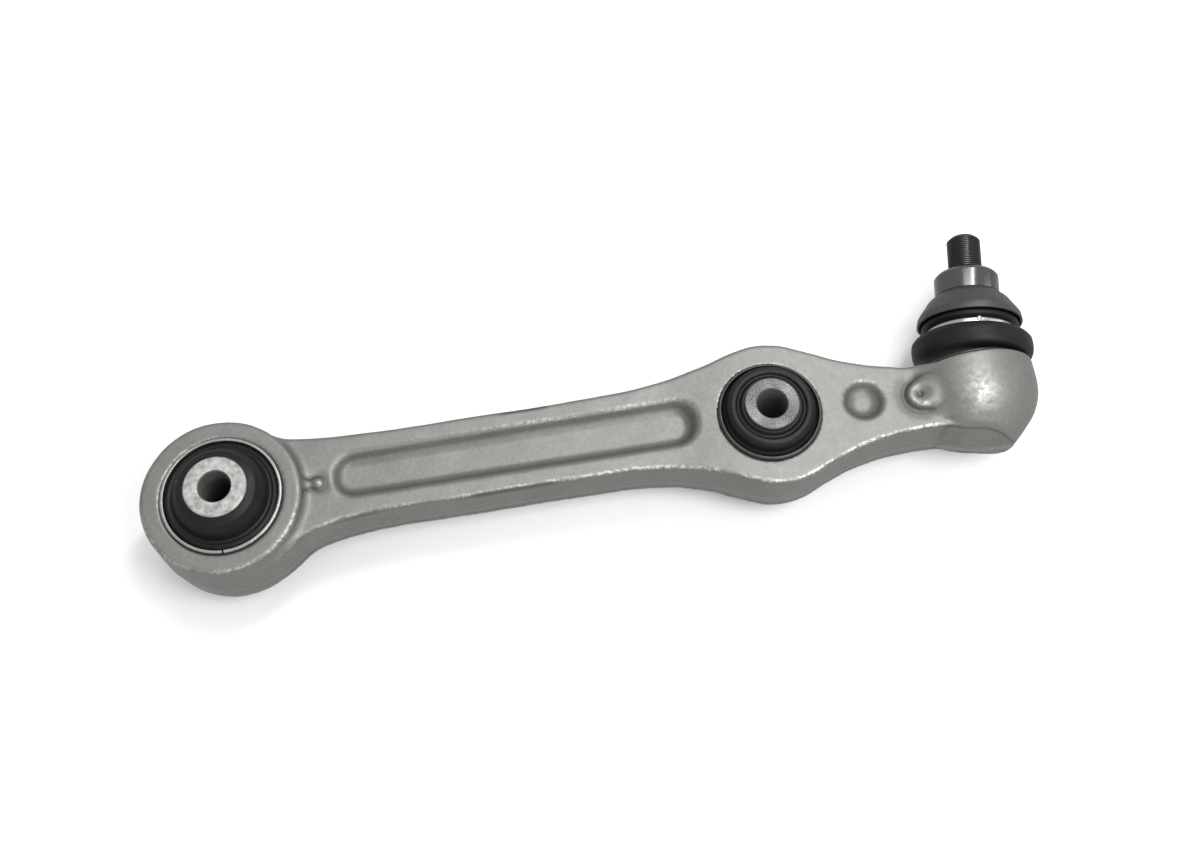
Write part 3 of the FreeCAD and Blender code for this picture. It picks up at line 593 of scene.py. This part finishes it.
def make_damper_bush(looks):
    """Outer sleeve, ridged rubber and turned inner sleeve of the middle bush."""
    shell = lathe("damper_shell", both_ends([
        (DAMPER_BORE, SHELL_HALF, 0.9), (DAMPER_BORE - SHELL_WALL, SHELL_HALF, 0.4)]),
        DAMPER_PLACE, looks["coated_steel_and_shade"])
    settle(shell, "arm", "coated_shell_steel", "damper_bush_outer_sleeve")
    rubber = lathe("damper_rubber", both_ends([
        (22.35, 16.6, 0.2), (21.6, 17.4, 0.6), (20.4, 18.6, 1.0), (20.0, 22.6, 1.6),
        (18.4, 24.3, 1.5), (16.4, 24.3, 1.2), (15.3, 22.8, 0.8), (14.4, 23.6, 0.7),
        (13.6, 25.0, 0.5), (DAMPER_TUBE + 0.06, 25.0)]), DAMPER_PLACE, looks["rubber"])
    settle(rubber, "arm", "bush_rubber", "damper_bush_rubber")
    tube = lathe("damper_tube", both_ends([
        (DAMPER_TUBE, DAMPER_HALF - 0.5, 0.2), (DAMPER_TUBE - 0.5, DAMPER_HALF, 0.2),
        (BOLT_BORE + 0.5, DAMPER_HALF, 0.15), (BOLT_BORE, DAMPER_HALF - 0.5, 0.1)]),
        DAMPER_PLACE, looks["turned_steel"])
    darken_bore(tube, DAMPER_PLACE, looks["bore_shade_steel"])
    settle(tube, "damper_sleeve", "turned_sleeve_steel", "damper_bush_inner_sleeve")


# ---------------------------------------------------------------- ball joint
THREAD_MAJOR, THREAD_MINOR, THREAD_PITCH = 8.0, 7.5, 1.0
COLLAR_START, COLLAR_END, THREAD_END = 57.8, 69.0, 88.98
COLLAR_RADIUS, SHANK_RADIUS, NECK_RADIUS, BALL_RADIUS, BALL_FLAT = 15.3, 9.0, 7.4, 14.0, 11.6
SOCKET_FLATS, SOCKET_DEPTH, TIP_CHAMFER = 4.0, 8.0, 2.0


def thread_radius(turns):
    """Radius of the thread flank by how far round a turn it is, crest to root and back."""
    phase = turns - math.floor(turns)
    rise = min(abs(phase - 0.5) * 2 * 1.6, 1.0)
    flank = min(max((rise - 0.18) / 0.72, 0.0), 1.0)
    return THREAD_MINOR + (THREAD_MAJOR - THREAD_MINOR) * flank


def make_thread(material):
    """Helical thread with a chamfered start, a relief at its foot and a hexagon socket."""
    centre, turn = STUD_PLACE
    around, per_pitch = 96, 12
    length = THREAD_END - COLLAR_END + 1.0
    rows = int(length / THREAD_PITCH * per_pitch)
    points, faces = [], []
    for row in range(rows + 1):
        along = COLLAR_END - 1.0 + length * row / rows
        tip = THREAD_MAJOR - max(0.0, along - (THREAD_END - TIP_CHAMFER))
        relief = float(ramp(along, COLLAR_END + 1.2, COLLAR_END + 2.2))
        for step in range(around):
            angle = 2 * math.pi * step / around
            radius = thread_radius(along / THREAD_PITCH - step / around)
            radius = THREAD_MINOR + (radius - THREAD_MINOR) * relief
            radius = min(radius, tip)
            points.append([radius * math.cos(angle), radius * math.sin(angle), along])
    for row in range(rows):
        for step in range(around):
            a, b = row * around + step, row * around + (step + 1) % around
            faces.append([a, b, b + around, a + around])
    rim = rows * around
    socket = len(points)
    for along in (THREAD_END, THREAD_END - SOCKET_DEPTH):
        for step in range(around):
            angle = 2 * math.pi * step / around
            fold = (angle + math.pi / 6) % (math.pi / 3) - math.pi / 6
            reach = SOCKET_FLATS / math.cos(fold)
            points.append([reach * math.cos(angle), reach * math.sin(angle), along])
    for step in range(around):
        following = (step + 1) % around
        faces.append([rim + step, rim + following, socket + following, socket + step])
        faces.append([socket + step, socket + following,
                      socket + around + following, socket + around + step])
    faces.append([socket + around + step for step in range(around)])
    faces.append([step for step in reversed(range(around))])
    piece = mesh_object("stud_thread", np.array(points) @ turn.T + centre, faces, material)
    mark_sharp(piece.data, math.radians(35))
    settle(piece, "stud", "stud_steel", "ball_stud")


def make_stud(looks):
    """Ball, neck and shank in one piece, the thread, the collar and the pressed shield."""
    lowest, highest = math.asin(-BALL_FLAT / BALL_RADIUS), math.acos(NECK_RADIUS / BALL_RADIUS)
    ball = [(0.0, -BALL_FLAT), (7.6, -BALL_FLAT)]
    ball += [(BALL_RADIUS * math.cos(a), BALL_RADIUS * math.sin(a))
             for a in np.linspace(lowest, highest, 24)]
    stem = lathe("stud_stem", ball + [
        (NECK_RADIUS, 43.6, 0.8), (SHANK_RADIUS, 45.2, 0.5), (SHANK_RADIUS, COLLAR_END - 1.0),
        (0.0, COLLAR_END - 1.0)], STUD_PLACE, looks["stud_steel"])
    settle(stem, "stud", "stud_steel", "ball_stud")
    make_thread(looks["thread_steel"])
    collar = lathe("collar", [
        (SHANK_RADIUS, COLLAR_START), (COLLAR_RADIUS, COLLAR_START),
        (COLLAR_RADIUS, COLLAR_END - 1.9, 0.8), (COLLAR_RADIUS - 1.6, COLLAR_END, 0.9),
        (SHANK_RADIUS, COLLAR_END)], STUD_PLACE, looks["collar_steel"])
    settle(collar, "stud", "collar_steel", "stud_collar")
    shield = lathe("shield", [
        (23.7, 42.8, 0.2), (24.9, 42.8, 0.4), (24.4, 46.3, 4.0), (19.2, 54.2, 6.0),
        (15.0, COLLAR_START, 0.4), (SHANK_RADIUS, COLLAR_START), (SHANK_RADIUS, 56.6),
        (14.5, 56.6, 0.6),
        (18.2, 53.5, 5.0), (23.1, 46.2, 3.0)], STUD_PLACE, looks["shield_steel"])
    settle(shield, "stud", "shield_steel", "boot_shield")


# Boot profile: distance from the ball centre, outer radius and share of the stud's lean.
BOOT = [(18.8, 24.2, 0.0), (20.2, 24.3, 0.0), (21.4, 24.0, 0.15), (22.4, 23.9, 0.5),
        (23.4, 24.9, 0.85), (24.3, 26.5, 1.0), (25.6, 27.7, 1.06), (27.2, 28.15, 1.08),
        (29.2, 28.4, 1.08), (31.2, 28.35, 1.06), (33.0, 28.1, 1.05), (34.4, 27.0, 1.03),
        (35.5, 25.3, 1.0), (36.2, 23.2, 1.0), (36.5, 21.2, 1.0), (37.0, 19.8, 1.0),
        (38.0, 19.6, 1.0), (39.0, 19.7, 1.0)]
BOOT_TOP = [(38.6, 19.7), (39.4, 20.7), (40.2, 22.2), (41.2, 22.9), (42.4, 22.8),
            (43.6, 21.6), (45.0, 18.6), (46.6, 14.6), (48.2, 12.6), (50.0, 12.3), (53.0, 12.3)]
BOOT_WALL = 1.8


def boot_skin(name, profile, material):
    """Rings about a centre line that bends from the housing axis to the stud axis."""
    outer = [(along, radius, share) for along, radius, share in profile]
    inner = [(along, radius - BOOT_WALL, share) for along, radius, share in reversed(profile)]
    points, faces = [], []
    rings = outer + inner
    for along, radius, share in rings:
        axis = HOUSING_AXIS * (1 - share) + STUD_AXIS * share
        centre, turn = axis_frame(BALL, axis)
        for step in range(SEGMENTS):
            angle = 2 * math.pi * step / SEGMENTS
            local = np.array([radius * math.cos(angle), radius * math.sin(angle), along])
            points.append(turn @ local + centre)
    for ring in range(len(rings)):
        following = (ring + 1) % len(rings)
        for step in range(SEGMENTS):
            after = (step + 1) % SEGMENTS
            faces.append([ring * SEGMENTS + step, ring * SEGMENTS + after,
                          following * SEGMENTS + after, following * SEGMENTS + step])
    piece = mesh_object(name, points, faces, material)
    mark_sharp(piece.data, math.radians(60))
    return piece


def make_boot(looks):
    """Bellows below the waist ring, the boot's top above it, and the ring with its clasp."""
    lower = boot_skin("boot_bellows", BOOT, looks["boot_rubber"])
    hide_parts("boot")
    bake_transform(lower)
    upper = boot_skin("boot_upper", [(a, r, 1.0) for a, r in BOOT_TOP], looks["boot_rubber"])
    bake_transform(upper)
    make_waist_ring(looks["bright_steel"])


WAIST_RADIUS, WAIST_LOW, WAIST_TOP, WAIST_WALL = 21.0, 36.8, 39.2, 1.2


def make_waist_ring(material):
    """Bright ring in the boot's waist, with a small clasp on the side of the front face."""
    front = np.cross([1.0, 0.0, 0.05], STUD_AXIS)
    front = front / np.linalg.norm(front)
    place = axis_frame(BALL + STUD_AXIS * 38.6 + front * WAIST_RADIUS, front)
    clasp = lathe("waist_ring_clasp", [
        (0.0, -0.8), (1.3, -0.8, 0.2), (1.2, 0.3, 0.4), (0.0, 0.7)], place, material)
    settle(clasp, "boot_carrier", "bright_ring_steel")
    inside = WAIST_RADIUS - WAIST_WALL
    ring = lathe("waist_ring", [
        (inside, WAIST_LOW, 0.2), (WAIST_RADIUS, WAIST_LOW, 0.5),
        (WAIST_RADIUS, WAIST_TOP, 0.6), (inside, WAIST_TOP, 0.2)], STUD_PLACE, material)
    settle(ring, "boot_carrier", "bright_ring_steel", "boot_waist_ring")


# ---------------------------------------------------------------- materials
class Look:
    """A material's node tree with short calls for the nodes that the looks share."""

    def __init__(self, name, colour, metallic, roughness):
        self.material = bpy.data.materials.new(name)
        self.material.use_nodes = True
        self.tree = self.material.node_tree
        self.shader = self.tree.nodes["Principled BSDF"]
        self.shader.inputs["Base Color"].default_value = (*colour, 1)
        self.shader.inputs["Metallic"].default_value = metallic
        self.shader.inputs["Roughness"].default_value = roughness
        self.place = self.tree.nodes.new("ShaderNodeTexCoord").outputs["Object"]

    def node(self, kind, **values):
        node = self.tree.nodes.new(kind)
        for key, value in values.items():
            setattr(node, key, value)
        return node

    def link(self, output, entry):
        self.tree.links.new(output, entry)

    def noise(self, size_mm, detail=3.0, rough=0.6, place=None):
        """Noise whose features are about size_mm across."""
        node = self.node("ShaderNodeTexNoise")
        node.inputs["Scale"].default_value = 1.0 / (size_mm * MM)
        node.inputs["Detail"].default_value = detail
        node.inputs["Roughness"].default_value = rough
        self.link(place or self.place, node.inputs["Vector"])
        return node.outputs["Fac"]

    def spread(self, value, low, high, to_low=0.0, to_high=1.0):
        node = self.node("ShaderNodeMapRange")
        node.inputs["From Min"].default_value = low
        node.inputs["From Max"].default_value = high
        node.inputs["To Min"].default_value = to_low
        node.inputs["To Max"].default_value = to_high
        self.link(value, node.inputs["Value"])
        return node.outputs["Result"]

    def times(self, a, b, operation="MULTIPLY"):
        node = self.node("ShaderNodeMath", operation=operation, use_clamp=True)
        for entry, value in zip(node.inputs, (a, b)):
            if isinstance(value, (int, float)):
                entry.default_value = value
            else:
                self.link(value, entry)
        return node.outputs["Value"]

    def mix(self, factor, a, b):
        """Colour mix; a and b are colours or outputs."""
        node = self.node("ShaderNodeMix", data_type="RGBA")
        self.link(factor, node.inputs[0])
        for entry, value in ((node.inputs[6], a), (node.inputs[7], b)):
            if isinstance(value, tuple):
                entry.default_value = (*value, 1)
            else:
                self.link(value, entry)
        return node.outputs[2]

    def bump(self, height, depth_mm, below=None):
        node = self.node("ShaderNodeBump")
        node.inputs["Strength"].default_value = 1.0
        node.inputs["Distance"].default_value = depth_mm * MM
        self.link(height, node.inputs["Height"])
        if below is not None:
            self.link(below, node.inputs["Normal"])
        return node.outputs["Normal"]

    def set(self, name, value):
        self.link(value, self.shader.inputs[name])


FORGED_DARK, FORGED_LIGHT = (0.196, 0.194, 0.184), (0.220, 0.217, 0.206)
# The last colour here darkens real pits, and is also painted shade in hollows, creases and
# ground-off patches.
FORGED_STAIN, FORGED_PIT_AND_SHADE = (0.148, 0.146, 0.138), (0.063, 0.062, 0.059)
# Bright worn metal, partly a painted glint and highlight on edges and on the housing's front.
FORGED_BRIGHT = (0.52, 0.515, 0.50)


def forged_look():
    """Shot-blasted forging: fine grain, soft stains, dark pits, bright specks where it is worn,
    which double as painted glints, and painted shade in hollows and creases.
    """
    look = Look("forged_alloy", (0.3, 0.3, 0.29), 0.30, 0.5)
    curve_wear_and_shade, housing_wear_and_highlight, flat_and_shade = (
        look.node("ShaderNodeAttribute", attribute_name=name).outputs["Fac"]
        for name in ("edge_wear_glint_and_shade", "handling_wear_and_highlight", "flash_flat_and_shade"))
    cloud = look.noise(30.0, 4.0)
    mottle = look.noise(2.2, 3.0)
    grain = look.noise(0.55, 2.0, 0.7)
    colour = look.mix(look.spread(cloud, 0.35, 0.65), FORGED_DARK, FORGED_LIGHT)
    colour = look.mix(look.spread(mottle, 0.3, 0.7, 0.0, 0.5), colour, FORGED_STAIN)
    pepper = look.spread(look.noise(0.9, 2.0, 0.8), 0.64, 0.72, 0.0, 0.5)
    colour = look.mix(pepper, colour, FORGED_PIT_AND_SHADE)
    # Painted shade: darker in hollows and creases, by negative curvature.
    hollow_shade = look.spread(curve_wear_and_shade, -0.15, -0.9, 0.0, 0.75)
    colour = look.mix(hollow_shade, colour, FORGED_PIT_AND_SHADE)
    # Painted shade in the rim's crease and at the ring's root, and ground-off patches darkened as
    # painted reflection.
    colour = look.mix(look.times(flat_and_shade, 0.7), colour, FORGED_PIT_AND_SHADE)
    specks = look.spread(look.noise(2.0, 5.0, 0.7), 0.42, 0.60)
    patches = look.spread(look.noise(16.0, 3.0), 0.38, 0.58, 0.10)
    # Bright specks on worn edges that face the light and on the rubbed housing front: partly real
    # wear, partly painted glint and highlight.
    edge = look.times(look.spread(curve_wear_and_shade, 0.40, 0.95), look.times(1.0, flat_and_shade, "SUBTRACT"))
    wear_and_glint = look.times(housing_wear_and_highlight, look.spread(look.noise(2.6, 5.0, 0.75), 0.42, 0.62))
    bright = look.times(look.times(edge, specks), patches)
    bright = look.times(bright, wear_and_glint, "MAXIMUM")
    look.set("Base Color", look.mix(bright, colour, FORGED_BRIGHT))
    look.set("Metallic", look.spread(bright, 0.0, 1.0, 0.70, 0.95))
    look.set("Roughness", look.times(look.spread(bright, 0.0, 1.0, 0.50, 0.28),
                                     look.spread(grain, 0.3, 0.7, 0.9, 1.1)))
    normal = look.bump(grain, 0.06)
    look.set("Normal", look.bump(mottle, 0.09, normal))
    return look.material


def rubber_look(name, tone, roughness):
    """Moulded rubber: almost black satin with a faint bloom and fine mould texture."""
    look = Look(name, (tone, tone, tone), 0.0, roughness)
    look.shader.inputs["Specular IOR Level"].default_value = 0.22
    bloom = look.spread(look.noise(9.0, 4.0), 0.4, 0.75, 0.0, 0.5)
    dust = look.spread(look.noise(0.9, 2.0, 0.7), 0.62, 0.78, 0.0, 0.35)
    colour = look.mix(bloom, (tone, tone, tone), (tone * 1.9, tone * 1.9, tone * 1.85))
    colour = look.mix(dust, colour, (tone * 4, tone * 4, tone * 3.9))
    look.set("Base Color", colour)
    look.set("Roughness", look.spread(bloom, 0.0, 0.5, roughness, roughness + 0.12))
    look.set("Normal", look.bump(look.noise(0.5, 2.0), 0.02))
    return look.material


def steel_look(name, tone, roughness, contrast=0.12, grain_mm=0.5, bump_mm=0.015, metallic=0.9):
    """Plain steel with a mottled tone and fine grain."""
    warm = (tone, tone * 0.995, tone * 0.965)
    look = Look(name, warm, metallic, roughness)
    mottle = look.spread(look.noise(3.0, 4.0, 0.7), 0.35, 0.65)
    dark = tuple(channel * (1 - contrast) for channel in warm)
    bright = tuple(min(1.0, channel * (1 + contrast)) for channel in warm)
    look.set("Base Color", look.mix(mottle, dark, bright))
    grain = look.noise(grain_mm, 2.0, 0.7)
    look.set("Roughness", look.spread(grain, 0.3, 0.7, roughness * 0.85, roughness * 1.2))
    look.set("Normal", look.bump(grain, bump_mm))
    return look.material


def turned_look(name, tone, roughness, place, pitch_mm, depth_mm, metallic=0.9):
    """Lathe-turned steel: fine grooves about the piece's own axis."""
    centre, turn = place
    light, dark = (tone, tone, tone * 0.97), (tone * 0.7, tone * 0.7, tone * 0.68)
    look = Look(name, light, metallic, roughness)
    shift = look.node("ShaderNodeVectorMath", operation="SUBTRACT")
    shift.inputs[1].default_value = tuple(centre * MM)
    look.link(look.place, shift.inputs[0])
    parts = []
    for column in range(3):
        dot = look.node("ShaderNodeVectorMath", operation="DOT_PRODUCT")
        dot.inputs[1].default_value = tuple(turn[:, column])
        look.link(shift.outputs["Vector"], dot.inputs[0])
        parts.append(dot.outputs["Value"])
    local = look.node("ShaderNodeCombineXYZ")
    for part, entry in zip(parts, local.inputs):
        look.link(part, entry)
    rings = look.node("ShaderNodeTexWave", wave_type="RINGS", rings_direction="Z")
    bands = look.node("ShaderNodeTexWave", wave_type="BANDS", bands_direction="Z")
    for grooves, wander in ((rings, 0.4), (bands, 0.3)):
        grooves.inputs["Scale"].default_value = 0.05 / (pitch_mm * MM) * 2 * math.pi
        grooves.inputs["Distortion"].default_value = wander
        look.link(local.outputs["Vector"], grooves.inputs["Vector"])
    mottle = look.spread(look.noise(4.0, 4.0, 0.7), 0.35, 0.65, 0.0, 0.35)
    look.set("Base Color", look.mix(mottle, light, dark))
    look.set("Roughness", look.spread(look.noise(1.2), 0.3, 0.7, roughness * 0.9,
                                      roughness * 1.2))
    normal = look.bump(rings.outputs["Fac"], depth_mm)
    look.set("Normal", look.bump(bands.outputs["Fac"], depth_mm, normal))
    return look.material


def make_looks():
    """Every material by a short name. Numbers in order are tone and roughness."""
    return {
        "forging": forged_look(),
        "rubber": rubber_look("bush_rubber", 0.0055, 0.42),
        "boot_rubber": rubber_look("boot_rubber", 0.005, 0.45),
        "shell_steel": steel_look("bush_shell_steel", 0.34, 0.30),
        "grainy_steel": steel_look("sleeve_steel", 0.345, 0.5, contrast=0.35,
                                   grain_mm=0.45, bump_mm=0.05, metallic=0.5),
        "turned_steel": turned_look("turned_sleeve_steel", 0.110, 0.24, DAMPER_PLACE,
                                    pitch_mm=0.35, depth_mm=0.032, metallic=0.8),
        # Black coated shell; the same dark look on the boot's lower clamp is painted shade.
        "coated_steel_and_shade": steel_look("coated_shell_steel", 0.03, 0.35, contrast=0.3,
                                   grain_mm=0.6, bump_mm=0.01, metallic=0.3),
        "bright_steel": steel_look("bright_ring_steel", 0.42, 0.25, contrast=0.06),
        # Painted shade: the bore's dark tone stands in for the little light that gets inside.
        "bore_shade_steel": steel_look("bore_shade_steel", 0.075, 0.9, contrast=0.2, metallic=0.0),
        "ring_steel": steel_look("ring_steel", 0.45, 0.4),
        "stud_steel": steel_look("stud_steel", 0.08, 0.38, contrast=0.15),
        "thread_steel": steel_look("thread_steel", 0.055, 0.30, contrast=0.2,
                                   grain_mm=0.4, bump_mm=0.008),
        "collar_steel": turned_look("collar_steel", 0.115, 0.17, STUD_PLACE,
                                    pitch_mm=0.25, depth_mm=0.004),
        "shield_steel": steel_look("shield_steel", 0.055, 0.44, contrast=0.15,
                                   grain_mm=0.6, bump_mm=0.02, metallic=0.5),
        "seat_plastic": rubber_look("seat_plastic", 0.35, 0.5),
    }


def dress_hidden_nodes(looks):
    """CAD nodes that stay as they are, inside the housing and the boot."""
    for node, look in (("ball_seat", "seat_plastic"), ("seat_retaining_ring", "ring_steel"),
                       # The lower clamp shows only as a sliver at the boot's foot; its dark coat
                       # there is painted shade.
                       ("boot_lower_clamp", "coated_steel_and_shade"), ("boot_upper_clamp", "ring_steel")):
        mesh = frame["nodes"][node].data
        mesh.materials.clear()
        mesh.materials.append(looks[look])


# ---------------------------------------------------------------- stage, light and camera
STAGE_MIDDLE = Vector((0.17, 0.0, 0.0))
FLOOR_SIZE, FLOOR_GAP = 6.0, 0.0002


def make_floor():
    place = (STAGE_MIDDLE.x, STAGE_MIDDLE.y, FLOOR_Z - FLOOR_GAP)
    bpy.ops.mesh.primitive_plane_add(size=FLOOR_SIZE, location=place)
    floor = bpy.context.object
    floor.name = "floor"
    look = Look("floor", (0.90, 0.90, 0.90), 0.0, 0.8)
    floor.data.materials.append(look.material)
    floor.visible_glossy = False


def area_light(name, place, size, power):
    """Rectangular soft light aimed at the middle of the stage."""
    data = bpy.data.lights.new(name, "AREA")
    data.shape = "RECTANGLE"
    data.size, data.size_y = size
    data.energy = power
    light = bpy.data.objects.new(name, data)
    light.location = place
    aim = STAGE_MIDDLE - Vector(place)
    light.rotation_euler = aim.to_track_quat("-Z", "Y").to_euler()
    bpy.context.scene.collection.objects.link(light)


def make_lights():
    area_light("key_strip", (0.70, 0.62, 1.30), (0.13, 1.0), 8.0)
    area_light("near_panel", (0.42, -0.20, 0.60), (0.30, 0.30), 2.7)
    area_light("back_panel", (0.20, 0.35, 1.10), (0.50, 0.30), 2.7)
    area_light("front_strip", (0.30, -1.15, 0.85), (1.2, 0.10), 3.4)
    area_light("right_strip", (1.45, 0.25, 0.75), (0.08, 1.0), 1.2)
    area_light("low_panel", (1.20, -0.70, 0.50), (0.50, 0.50), 0.9)
    world = bpy.data.worlds.new("studio")
    world.use_nodes = True
    sky = world.node_tree.nodes["Background"]
    sky.inputs["Color"].default_value = (1.0, 1.0, 1.0, 1)
    sky.inputs["Strength"].default_value = 0.70
    bpy.context.scene.world = world


def make_camera():
    """Looks steeply down on the front face, turned a little, from the lower edge's side."""
    tilt, roll, heading = 21.849, 0.037, -7.756
    data = bpy.data.cameras.new("camera")
    data.lens = 42.0
    data.sensor_width = 36.0
    camera = bpy.data.objects.new("camera", data)
    camera.location = (0.14046, -0.22431, 0.61144)
    camera.rotation_euler = [math.radians(angle) for angle in (tilt, roll, heading)]
    bpy.context.scene.collection.objects.link(camera)
    bpy.context.scene.camera = camera
    bpy.context.scene.view_settings.view_transform = "Standard"


looks = make_looks()
make_forging(looks["forging"])
make_inner_bush(looks)
make_damper_bush(looks)
make_stud(looks)
make_boot(looks)
dress_hidden_nodes(looks)
make_floor()
make_lights()
make_camera()
